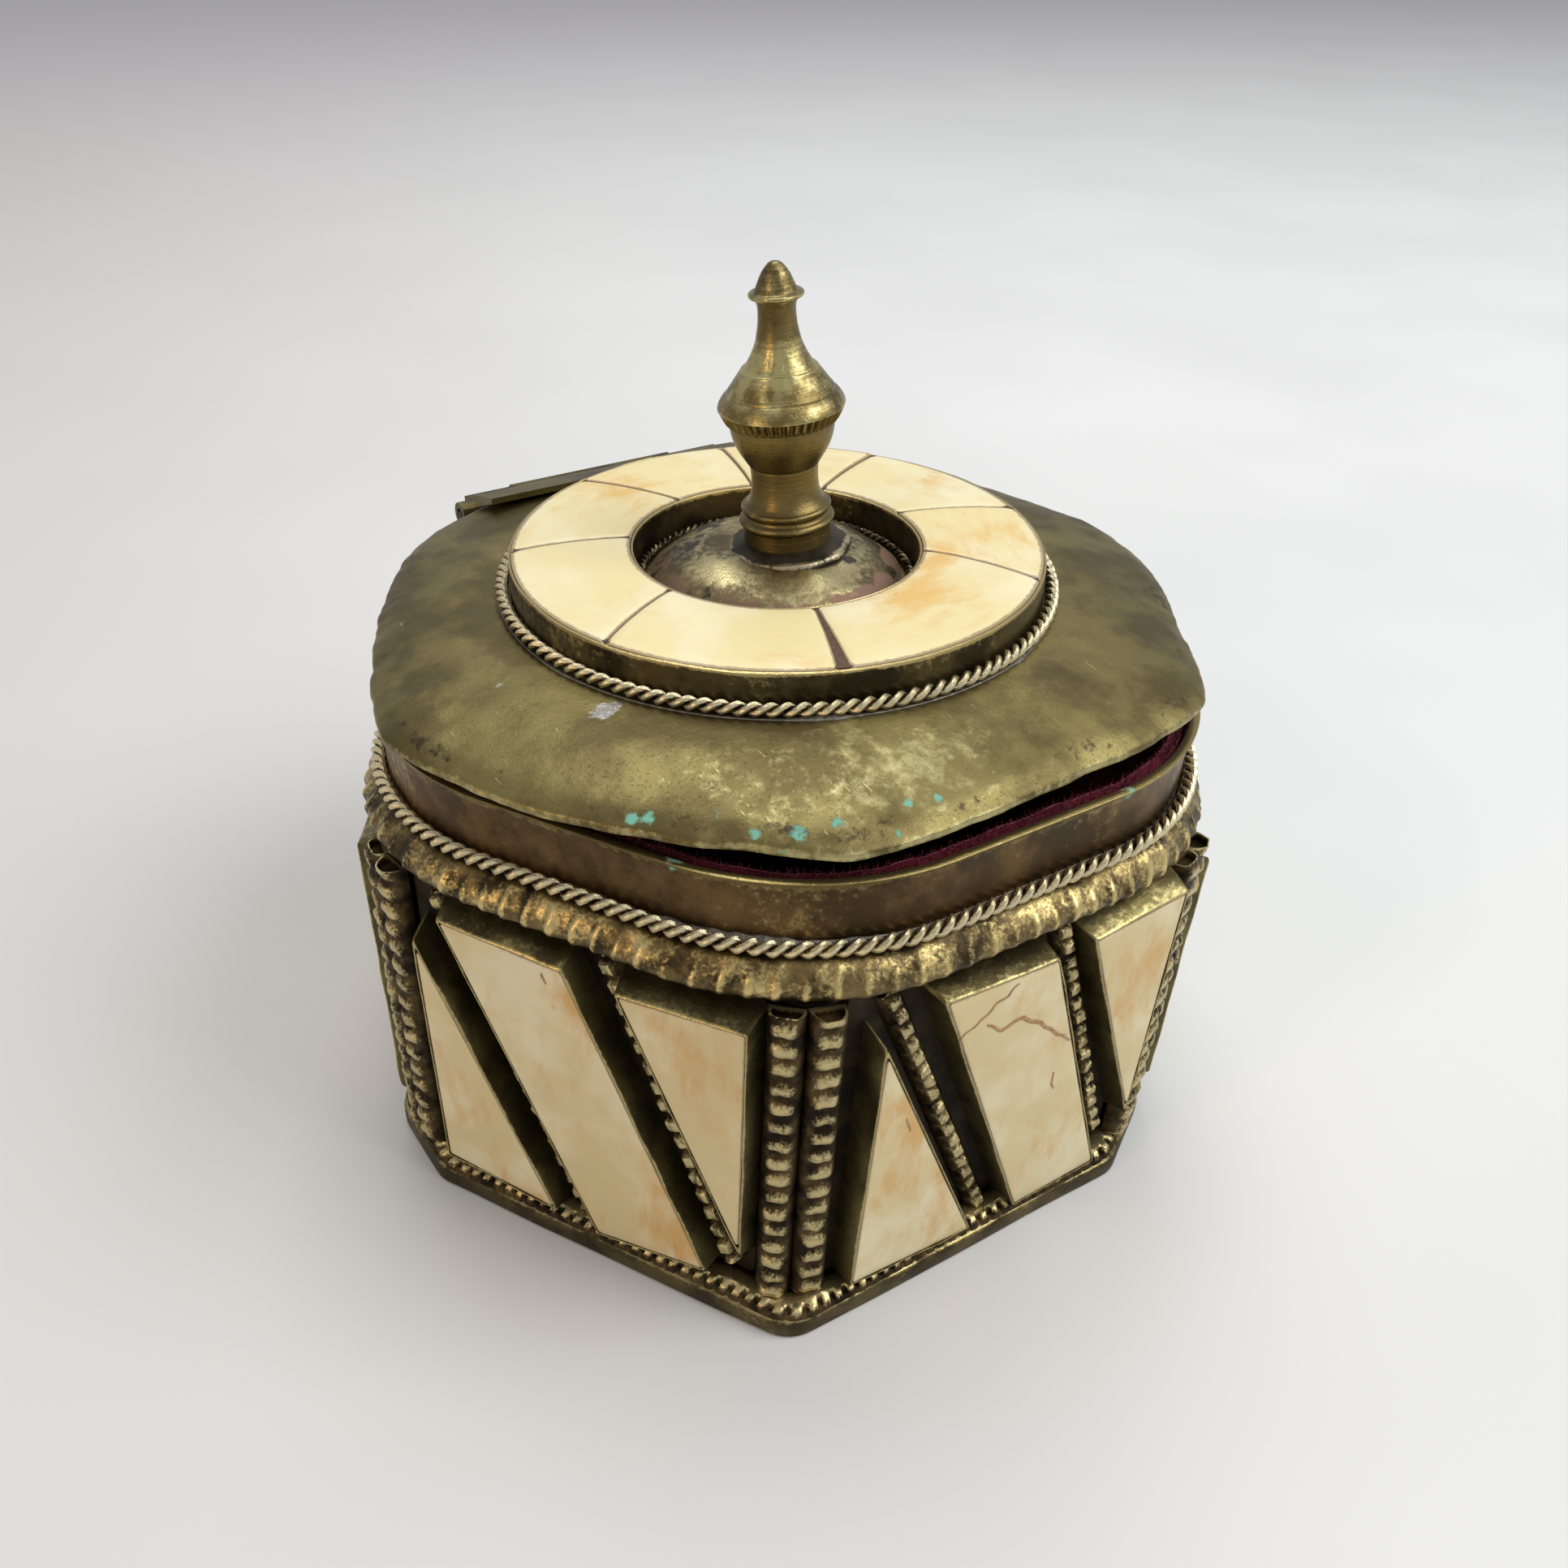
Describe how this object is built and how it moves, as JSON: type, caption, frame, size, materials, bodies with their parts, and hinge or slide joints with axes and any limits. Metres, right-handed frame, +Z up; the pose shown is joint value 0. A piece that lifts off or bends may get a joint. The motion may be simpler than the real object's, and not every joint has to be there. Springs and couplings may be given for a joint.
{
  "type": "hexagonal trinket box",
  "caption": "Hexagonal footed brass trinket box with bone plaques in box bezels, a hinged domed lid with a bone ring and a turned finial, lined with velvet.",
  "frame": {"origin": "centre of the base plate's underside, on the box's upright axis", "axes": "+Z up along the box's axis; -Y faces the opening side of the lid, +Y the hinge; X runs along the hinge"},
  "size_m": [0.1132, 0.1033, 0.1037],
  "materials": {
    "bright_brass": "worn bright tops, dark recesses",
    "aged_brass": "dark olive patina",
    "copper_brown": "coppery brown tarnish",
    "bone": "polished bone, cream with amber stains",
    "velvet": "maroon velvet"
  },
  "bodies": {
    "box": {"base_plate": "aged_brass", "base_bead_strip": "bright_brass", "body_shell": "aged_brass", "shoulder_plate": "aged_brass", "shoulder_bead_band": "bright_brass", "shoulder_rope": "bright_brass", "collar": "copper_brown", "wall_lining": "velvet", "floor_pad": "velvet", "hinge_leaf_body": "bright_brass", "hinge_pin": "bright_brass", "facet_panel_1": "aged_brass", "corner_bead_strip_1": "bright_brass", "plaque_1_triangle": "bone", "plaque_1_slanted": "bone", "plaque_1_inverted": "bone", "facet_panel_2": "aged_brass", "corner_bead_strip_2": "bright_brass", "plaque_2_triangle": "bone", "plaque_2_slanted": "bone", "plaque_2_inverted": "bone", "facet_panel_3": "aged_brass", "corner_bead_strip_3": "bright_brass", "plaque_3_triangle": "bone", "plaque_3_slanted": "bone", "plaque_3_inverted": "bone", "facet_panel_4": "aged_brass", "corner_bead_strip_4": "bright_brass", "plaque_4_triangle": "bone", "plaque_4_slanted": "bone", "plaque_4_inverted": "bone", "facet_panel_5": "aged_brass", "corner_bead_strip_5": "bright_brass", "plaque_5_triangle": "bone", "plaque_5_slanted": "bone", "plaque_5_inverted": "bone", "facet_panel_6": "aged_brass", "corner_bead_strip_6": "bright_brass", "plaque_6_triangle": "bone", "plaque_6_slanted": "bone", "plaque_6_inverted": "bone"},
    "lid": {"hinge_leaf_lid": "bright_brass", "lid_plate": "aged_brass", "lid_lining": "velvet", "drum": "aged_brass", "drum_rope": "bright_brass", "well_rope": "bright_brass", "boss": "copper_brown", "finial": "bright_brass", "finial_nut": "aged_brass", "ring_segment_1": "bone", "ring_segment_2": "bone", "ring_segment_3": "bone", "ring_segment_4": "bone", "ring_segment_5": "bone", "ring_segment_6": "bone", "ring_segment_7": "bone", "ring_segment_8": "bone"}
  },
  "joints": [
    {"name": "lid_hinge", "type": "hinge", "parent": "box", "child": "lid", "pos_m": [0, 0.0515, 0.0623], "axis": [-1, 0, 0], "range_deg": [0, 105]}
  ]
}
